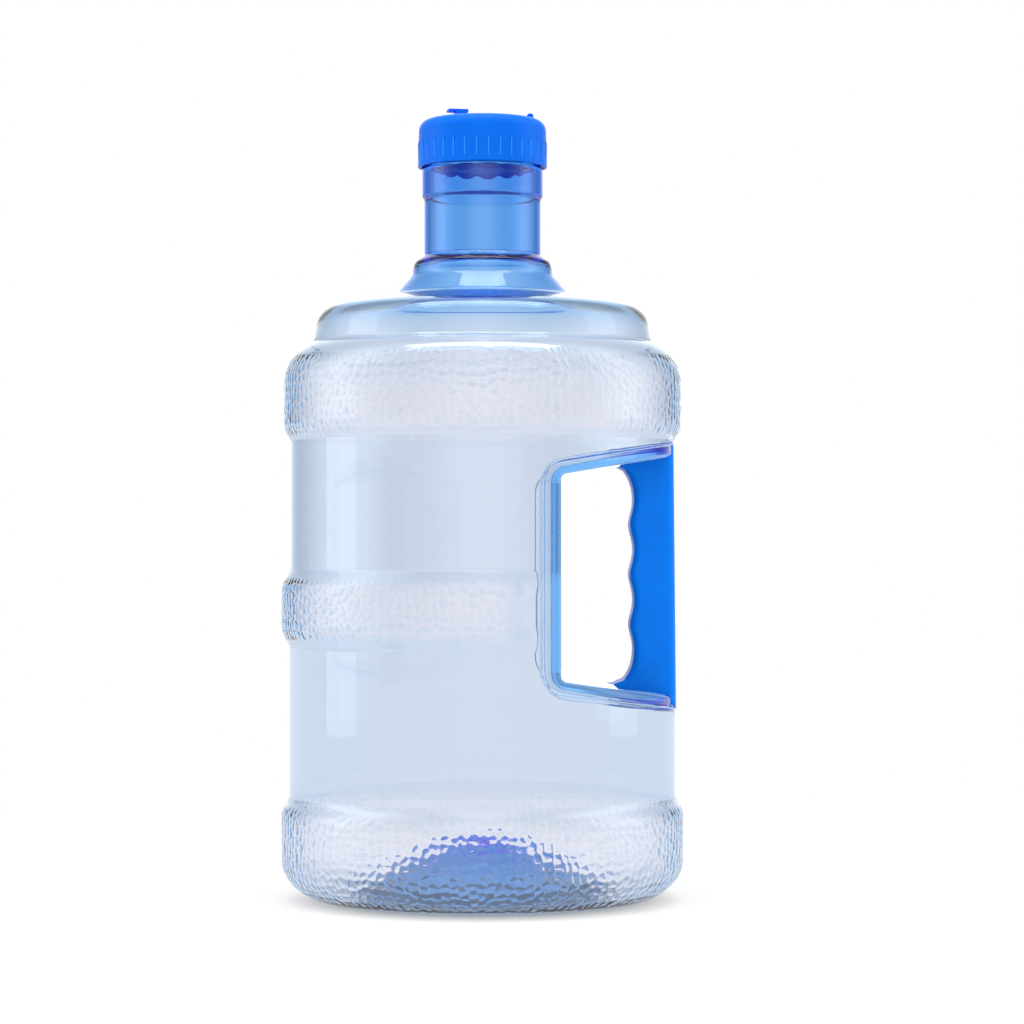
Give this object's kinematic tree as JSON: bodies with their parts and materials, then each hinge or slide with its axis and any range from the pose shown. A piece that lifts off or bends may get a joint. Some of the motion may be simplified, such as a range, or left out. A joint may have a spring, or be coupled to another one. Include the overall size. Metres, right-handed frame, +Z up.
{
  "type": "water jug",
  "caption": "Large clear plastic water jug with textured bands, a clipped-in side handle, a wide neck and a screw cap with a non-spill well.",
  "frame": {"origin": "centre of the jug's footprint, on the plane its base ring stands on", "axes": "+Z up along the neck, +X towards the handle"},
  "size_m": [0.1886, 0.1886, 0.3707],
  "materials": {
    "pet": "clear",
    "handle_blue": "satin",
    "cap_blue": "satin",
    "plug_blue": "satin",
    "seal": "matt"
  },
  "bodies": {
    "jug": {"jug_body": "pet", "handle_grip": "handle_blue"},
    "seal": {"cap_gasket": "seal"},
    "cap": {"cap_shell": "cap_blue"},
    "lid": {"dust_lid": "cap_blue"},
    "plug": {"valve_plug": "plug_blue"}
  },
  "joints": [
    {"name": "cap_lift", "type": "slide", "parent": "jug", "child": "seal", "axis": [0, 0, 1], "range_m": [0, 0.0315]},
    {"name": "cap_turn", "type": "hinge", "parent": "seal", "child": "cap", "pos_m": [0, 0, 0.3634], "axis": [0, 0, 1], "range_deg": [0, 2521]},
    {"name": "lid_hinge", "type": "hinge", "parent": "cap", "child": "lid", "pos_m": [0.02103, 0.00447, 0.3674], "axis": [-0.2079, 0.9781, 0], "range_deg": [0, 115]},
    {"name": "valve_slide", "type": "slide", "parent": "cap", "child": "plug", "axis": [0, 0, -1], "range_m": [0, 0.025]}
  ],
  "couplings": [
    {"joint": "cap_turn", "follows": "cap_lift", "rad_per_m": 1396.3}
  ]
}
